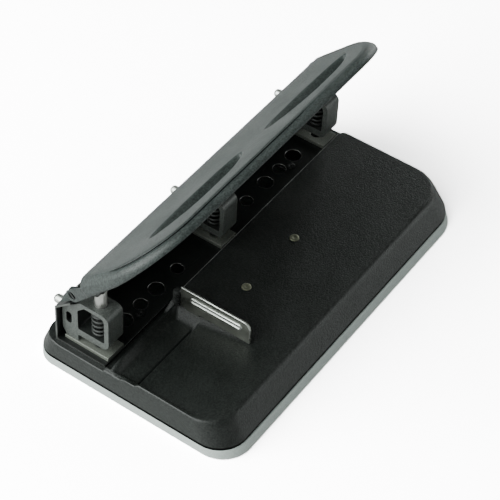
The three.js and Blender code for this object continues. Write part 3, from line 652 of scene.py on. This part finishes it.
def screw(n, x):
    """A round-headed screw whose end carries a cross recess."""
    neck, dome = 5.9, 2.5
    rows = [(1.5, -3.0), (1.5, 1.5), (2.75, 1.5), (2.9, 1.7), (2.9, 5.4), (2.8, neck)]
    rows += [(2.8 * math.cos(a), neck + dome * math.sin(a)) for a in np.linspace(0.12, 1.5, 16)] + [(0.06, 8.38)]
    sides, verts = 72, [(x, 52.5, SCREW_Z)]
    for r, h in rows:
        for j in range(sides):
            a = 2 * math.pi * j / sides
            u, v = r * math.sin(a), r * math.cos(a)
            recess = min(1, max(0, (0.5 - min(abs(u), abs(v))) / 0.14)) * min(1, max(0, (1.9 - r) / 0.25))
            depth = 1.1 * recess if h > 6 else 0
            verts.append((x + u, RAIL_BACK + h - depth, SCREW_Z + v))
    faces = bands(len(rows), sides, 1)
    faces += [[0, 1 + (j + 1) % sides, 1 + j] for j in range(sides)]
    faces.append([1 + (len(rows) - 1) * sides + j for j in range(sides)])
    add_tidy(f"lock_screw_body_{n}", verts, faces, CHROME, f"screw_{n}", nodes=(f"lock_screw_{n}",),
             slot="chrome")


def spring(n, x, body):
    """A coil whose end turns lie flat."""
    wire, r, turns, z0, z1 = 0.7, PIN_R + 1.15, 5.6, 32.5, CLIP_Z - 0.05
    steps, ring = int(turns * 40), 10
    verts = []
    low, high = z0 + wire, z1 - wire
    ends = 0.8 / turns
    for k in range(steps + 1):
        t = k / steps
        lift = np.interp(t, [0, ends, 1 - ends, 1], [0, 0.06, 0.94, 1])
        a = 2 * math.pi * turns * t
        c = Vector((x + r * math.cos(a), PIN_Y + r * math.sin(a), low + (high - low) * lift))
        out = Vector((math.cos(a), math.sin(a), 0))
        for j in range(ring):
            b = 2 * math.pi * j / ring
            verts.append(c + out * (wire * math.cos(b)) + Vector((0, 0, wire * math.sin(b))))
    faces = bands(steps + 1, ring) + [list(range(ring))[::-1], [steps * ring + j for j in range(ring)]]
    obj = add_tidy(f"return_coil_{n}", verts, faces, WIRE, body, nodes=(f"return_spring_{n}",),
                   slot="spring_steel")
    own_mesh(obj)


def pin(n, x):
    body = f"pin_{n}"
    profile = [(0, PIN_TIP + 0.8), (1.5, PIN_TIP + 0.5), (PIN_R - 0.06, PIN_TIP), (PIN_R, PIN_TIP + 0.1),
               (PIN_R, HEAD_TOP), (PIN_R, PIN_TOP - 0.5), (PIN_R - 0.15, PIN_TOP - 0.15), (PIN_R - 0.5, PIN_TOP),
               (0, PIN_TOP)]
    shank = lathe(f"pin_shank_{n}", profile, (x, PIN_Y, 0), "z", STEEL, body, 48, nodes=(f"punch_pin_{n}",),
                  slot="steel")
    # Painted shade: the part of the pin that runs inside the head gets near-black steel in place of the shade in
    # there.
    shank.data.materials.append(PIN_SHADE_STEEL)  # the part that runs inside the head
    for face in shank.data.polygons:
        if face.center[2] < HEAD_TOP * MM:
            face.material_index = 1
    gap, outer, inner = 0.42, PIN_R + 1.8, PIN_R - 0.2
    angles = np.linspace(math.pi / 2 + gap, 2.5 * math.pi - gap, 40)
    loop = [(x + outer * math.cos(a), PIN_Y + outer * math.sin(a)) for a in angles]
    loop += [(x + inner * math.cos(a), PIN_Y + inner * math.sin(a)) for a in angles[::-1]]
    plate(f"pin_ring_{n}", loop, [], CLIP_Z + 0.02, CLIP_Z + 1.18, "xy", WIRE, body, 0.15,
          nodes=(f"pin_clip_{n}",), slot="spring_steel")


# ---------------------------------------------------------------- lever
GRIPS, GRIP_Y, GRIP_DEPTH = ((-48.6, 41.5), (57.2, 41.0)), -47.4, 5.4
# Sections of the sheet's edge as (step along it, distance in, height): the rolled bar and crease of the
# near half of the front, and the plain round edge of the rest.
FRONT_EDGE = [(0, 0, 1.4), (0.5, 0.25, 2.6), (1.0, 0.75, 3.5), (1.6, 1.5, 4.3), (2.2, 2.3, 4.95),
              (2.9, 3.2, 5.35), (3.5, 4.15, 5.5), (3.9, 3.65, 5.85), (4.3, 3.3, 6.1), (4.8, 3.55, 6.4),
              (5.5, 4.4, 6.72), (6.6, 6.0, 6.88), (9.5, 9.5, LEVER_TOP), (90, 90, LEVER_TOP)]
END_EDGE = [(0, 0, 1.5), (0.5, 0.3, 2.9), (1.1, 0.95, 3.75), (1.9, 1.85, 4.65), (3.0, 3.0, 5.6),
            (4.4, 4.4, 6.35), (6.4, 6.4, 6.82), (9.5, 9.5, LEVER_TOP), (90, 90, LEVER_TOP)]


def lever_place(obj):
    """Shapes drawn with the lever closed and its hinge on the X axis are swung up to the rest pose."""
    place = Matrix.Translation((0, PIVOT_Y * MM, PIVOT_Z * MM))
    obj.data.transform(place @ Matrix.Rotation(math.radians(OPEN_ANGLE), 4, "X"))
    obj.data.update()


def smooth_grid(D, X, Y, rounds):
    """Even softening of a field over an uneven grid."""
    for _ in range(rounds):
        for axis, C in ((0, Y), (1, X)):
            lo, hi = np.roll(D, 1, axis), np.roll(D, -1, axis)
            gap = np.maximum(np.abs(np.roll(C, 1, axis) - C), np.abs(np.roll(C, -1, axis) - C))
            w = np.clip(0.2 * (0.45 / np.maximum(gap, 0.05)) ** 2, 0, 0.25)
            D = D + w * (lo + hi - 2 * D)
    return D


def grip_depth(X, Y):
    """Two long finger recesses with steep walls all round."""
    depth = np.zeros_like(X)
    for centre, half in GRIPS:
        u, v = np.clip(np.abs(X - centre) / half, 0, 1), Y - GRIP_Y
        blunt = np.where(X > centre, 3.2, 2.1)
        back = 2.4 * (1 - u * u) - 2.2 * u ** 10
        front = 2.2 - 16.8 * (1 - u ** blunt) ** 0.62 - 4.4 * u ** 10
        rise = np.clip((back - v) * 2.6, 0, None)
        fall = np.clip((v - front) * 1.25, 0, None)
        ends = np.clip((1 - u) * half * 1.5, 0, None)
        d = smin(smin(rise, fall, 1.2), smin(ends, np.full_like(X, GRIP_DEPTH), 1.4), 1.4)
        depth = np.maximum(depth, np.where((v > back) | (v < front), 0, np.maximum(d, 0)))
    return smooth_grid(depth, X, Y, 3)


def edge_profile(points, s, column):
    """A softened edge section, as distance in (1) or height (2) against the step along it."""
    fine, z = softened([(p[0], p[column]) for p in points], -1, 12, 0.02, 25, 0.14)
    return np.where(s < 10, np.interp(s, fine, z), s if column == 1 else LEVER_TOP)


def lever_surface(X, Y):
    """The sheet with its rolled bar and crease along the near front edge."""
    box = (-LEVER_HALF, LEVER_HALF, LEVER_FRONT, 40, LEVER_CORNER, LEVER_CORNER, 3)
    s = np.maximum(-rect_distance(X, Y, *box), 0)
    gx = (rect_distance(X + 0.01, Y, *box) - rect_distance(X - 0.01, Y, *box)) / 0.02
    gy = (rect_distance(X, Y + 0.01, *box) - rect_distance(X, Y - 0.01, *box)) / 0.02
    plain = np.clip(np.maximum((Y + 47) / 18, (X - 5) / 50), 0, 1)
    plain = plain * plain * (3 - 2 * plain)
    inset, z = [edge_profile(FRONT_EDGE, s, c) * (1 - plain) + edge_profile(END_EDGE, s, c) * plain
                for c in (1, 2)]
    shift = np.where(s < 9.5, s - inset, 0)
    return X + gx * shift, Y + gy * shift, z - grip_depth(X, Y)


def lever():
    xs = spaced((-LEVER_HALF, -112.6, 0.2), (-112.6, 112.6, 0.8), (112.6, LEVER_HALF, 0.2))
    ys = spaced((LEVER_FRONT, -71.2, 0.2), (-71.2, -42, 0.4), (-42, LEVER_BACK, 1.2))
    X, Y = np.meshgrid(xs, ys)
    X, Y = square_to_round(X, Y, -LEVER_HALF, LEVER_HALF, LEVER_FRONT, LEVER_BACK,
                           (LEVER_CORNER, LEVER_CORNER, 0, 0))
    X, Y, Z = lever_surface(X, Y)
    ny, nx = X.shape
    verts = [tuple(v) for v in np.stack([X, Y, Z], -1).reshape(-1, 3)]
    starts = [j * nx + i for j in range(ny - 1) for i in range(nx - 1)]
    faces = [[a, a + 1, a + nx + 1, a + nx] for a in starts]
    # The border turns down in three steps, all round but for the back.
    border = [(j, 0) for j in range(ny - 1, 0, -1)] + [(0, i) for i in range(nx)]
    border += [(j, nx - 1) for j in range(1, ny)]
    last = [j * nx + i for j, i in border]
    low = [np.interp(Y[j, i], [LEVER_FRONT, -42, LEVER_BACK], [1.1, -2.1, -3.75]) for j, i in border]
    for t in (0.3, 0.65, 1.0):
        row = []
        for k, (j, i) in enumerate(border):
            row.append(len(verts))
            z_top = Z[j, i]
            verts.append((X[j, i], Y[j, i], z_top + (min(low[k], z_top - 0.05) - z_top) * t))
        for k in range(len(border) - 1):
            faces.append([last[k], row[k], row[k + 1], last[k + 1]])
        last = row
    obj = add_object("lever_sheet", verts, faces, LEVER, "lever", nodes=("handle",), slot="lever_grey", sharp=50)
    lever_place(obj)
    tidy_normals(obj)
    m = obj.modifiers.new("sheet", "SOLIDIFY")
    m.thickness, m.offset, m.use_even_offset = 1.1 * MM, -1.0, False


def ears():
    """The turned-down ends of the sheet that hold the hinge."""
    arc = [(4.4 * math.cos(a), 4.4 * math.sin(a)) for a in np.linspace(math.radians(60), -math.pi / 2 - 0.1, 16)]
    outline = [(-24, 2.3), (-12.5, 2.8), (-9.5, 3.1), (-6, 3.4), (-2, 3.8)] + arc + [(-24, -3.1)]
    key = [(v, u) for u, v in slot_loop(0, 0.2, 5.2, 4.0, 10)]
    for name, a, b in (("lever_ear_near", -119.3, -118.2), ("lever_ear_far", 118.2, 119.3)):
        lever_place(plate(name, outline, [key], a, b, "yz", LEVER, "lever", 0.25, slot="lever_grey"))


# ---------------------------------------------------------------- paper guide
def guide():
    x0, x1 = GUIDE_X - GUIDE_HALF_T, GUIDE_X + GUIDE_HALF_T
    outline = round_corners([(-35.2, 22.7), (12.6, 22.7), (12.6, 38.2), (-35.2, 38.2)], [0.4, 0.4, 1.2, 5.5], 10)
    plate("guide_sheet", outline, [], x0, x1, "yz", SATIN, "guide", 0.45, 4, nodes=("guide_plate",),
          slot="chrome")
    verts, rings = [], [(0, -0.05), (0.15, 0.35), (0.45, 0.66), (0.8, 0.74), (1.1, 0.6), (1.4, 0.3), (2.1, 0.2)]
    for inset, h in rings:
        loop = slot_loop(-12.0, 32.2, 36 - 2 * inset, 4.4 - 2 * inset, 20)
        verts += [(x0 - h, u, v) for u, v in loop]
    n = len(loop)
    faces = bands(len(rings), n) + [[(len(rings) - 1) * n + i for i in range(n)]]
    add_tidy("guide_rib", verts, faces, CHROME, "guide", slot="chrome", sharp=0)
    path = [(12.4, 38.0), (0, 38.0), (-20, 38.0), (-29.7, 38.0)]
    path += [(-29.7 - 5.3 * math.sin(a), 32.7 + 5.3 * math.cos(a)) for a in np.linspace(0.15, math.pi / 2, 10)]
    path += [(-35.0, 27.0)]
    tube("guide_bead", [(x0 + 0.1, u, v) for u, v in path], 0.42, CHROME, "guide", slot="chrome")
    plate("guide_leg", [(0, 17.6), (9, 17.6), (9, 23.4), (0, 23.4)], [], x0 + 0.05, x1 - 0.05, "yz", SATIN,
          "guide", 0.2, slot="chrome")
    profile = [(0, 22.6), (1.9, 22.6), (2.3, 22.9)]
    for k in range(5):
        z = 23.2 + 1.5 * k
        profile += [(2.5, z), (2.55, z + 0.5), (2.5, z + 1.0), (2.2, z + 1.15), (2.2, z + 1.35)]
    profile += [(2.5, 30.8), (2.55, 31.6), (2.3, 32.6), (1.7, 33.2), (0, 33.4)]
    lathe("guide_curl", profile, (GUIDE_X, 15.6, 0), "z", WIRE, "guide", nodes=("guide_sleeve",),
          slot="chrome")


base_cover()
chip_tray()
table_rivets()
rail()
rail_rivets()
for number, head_x in enumerate(HEADS, 1):
    head(number, head_x)
lever()
ears()
guide()

# These CAD pieces are shown as they are, with a finish and a fine bevel.
for node, material, width in (("hinge_bracket_near", LEVER, 0.25), ("hinge_bracket_far", LEVER, 0.25),
                              ("hinge_rod", RAIL, 0.15), ("press_bar", RAIL, 0.25)):
    obj = NODES[node]
    obj.data.materials.clear()
    obj.data.materials.append(material)
    bevel(obj, width)


# ---------------------------------------------------------------- floor, camera and light
FLOOR_SEEN, FLOOR_BOUNCED = (7.4, 7.0, 7.2, 1), (0.7, 0.7, 0.7, 1)
AZIMUTH, ELEVATION, ROLL, DISTANCE, TARGET = -57.5262, 46.5662, 3.6316, 1114.893, (18.315, 17.69, 0)
FOCAL_PX, FRAME_PX, SENSOR = 1849.373, 500.0, 36.0
TINT = (0.95, 1.0, 0.975)


def stage_floor():
    """A plain floor, brighter to the eye than in the light that it throws back at the object."""
    me = bpy.data.meshes.new("floor")
    me.from_pydata([(-4, -4, 0), (4, -4, 0), (4, 4, 0), (-4, 4, 0)], [], [(0, 1, 2, 3)])
    obj = bpy.data.objects.new("floor", me)
    bpy.context.scene.collection.objects.link(obj)
    mat, nt, bsdf = tree_of("pale_floor")
    nt.nodes.remove(bsdf)
    seen, bounced = nt.nodes.new("ShaderNodeBsdfDiffuse"), nt.nodes.new("ShaderNodeBsdfDiffuse")
    seen.inputs["Color"].default_value = FLOOR_SEEN
    bounced.inputs["Color"].default_value = FLOOR_BOUNCED
    mix = nt.nodes.new("ShaderNodeMixShader")
    nt.links.new(nt.nodes.new("ShaderNodeLightPath").outputs["Is Camera Ray"], mix.inputs[0])
    nt.links.new(bounced.outputs[0], mix.inputs[1])
    nt.links.new(seen.outputs[0], mix.inputs[2])
    nt.links.new(mix.outputs[0], nt.nodes["Material Output"].inputs["Surface"])
    me.materials.append(mat)


def camera():
    """The photograph's camera, found from points on the base, the heads and the holes."""
    az, el, roll = math.radians(AZIMUTH), math.radians(ELEVATION), math.radians(ROLL)
    back = Vector((math.sin(az) * math.cos(el), -math.cos(az) * math.cos(el), math.sin(el)))
    right = (-back).cross(Vector((0, 0, 1))).normalized()
    up = right.cross(-back)
    c, s = math.cos(roll), math.sin(roll)
    r2, u2 = c * right + s * up, -s * right + c * up
    m = Matrix((r2, u2, back)).transposed().to_4x4()
    m.translation = (Vector(TARGET) + back * DISTANCE) * MM
    data = bpy.data.cameras.new("camera")
    data.sensor_width, data.lens = SENSOR, FOCAL_PX * SENSOR / FRAME_PX
    data.clip_start, data.clip_end = 0.05, 30
    obj = bpy.data.objects.new("camera", data)
    obj.matrix_world = m
    bpy.context.scene.collection.objects.link(obj)
    bpy.context.scene.camera = obj


def area(name, place, aim, size, power):
    data = bpy.data.lights.new(name, "AREA")
    data.shape, data.size, data.size_y = "RECTANGLE", size[0], size[1]
    data.energy, data.color = power, TINT
    obj = bpy.data.objects.new(name, data)
    obj.location = place
    obj.rotation_euler = (Vector(aim) - Vector(place)).to_track_quat("-Z", "Y").to_euler()
    bpy.context.scene.collection.objects.link(obj)


def lights():
    world = bpy.data.worlds.new("studio")
    bpy.context.scene.world = world
    world.use_nodes = True
    nt = world.node_tree
    bg = nt.nodes["Background"]
    coord = nt.nodes.new("ShaderNodeTexCoord")
    split = nt.nodes.new("ShaderNodeSeparateXYZ")
    nt.links.new(coord.outputs["Generated"], split.inputs[0])
    ramp = nt.nodes.new("ShaderNodeValToRGB")
    level, high = ramp.color_ramp.elements
    level.position, level.color = 0.0, (0.2, 0.215, 0.207, 1)
    high.position, high.color = 0.75, (0.12, 0.13, 0.125, 1)
    nt.links.new(split.outputs["Z"], ramp.inputs[0])
    nt.links.new(ramp.outputs[0], bg.inputs["Color"])
    bg.inputs["Strength"].default_value = 1.0
    area("key", (-1.2, 0.74, 1.08), (0, 0, 0.04), (1.9, 1.9), 108)
    area("right", (1.8, 0.3, 0.42), (0, 0, 0.02), (0.9, 0.5), 12)
    area("front", (0.95, -1.0, 0.36), (0.02, 0, 0.03), (0.7, 0.35), 4.5)


stage_floor()
camera()
lights()
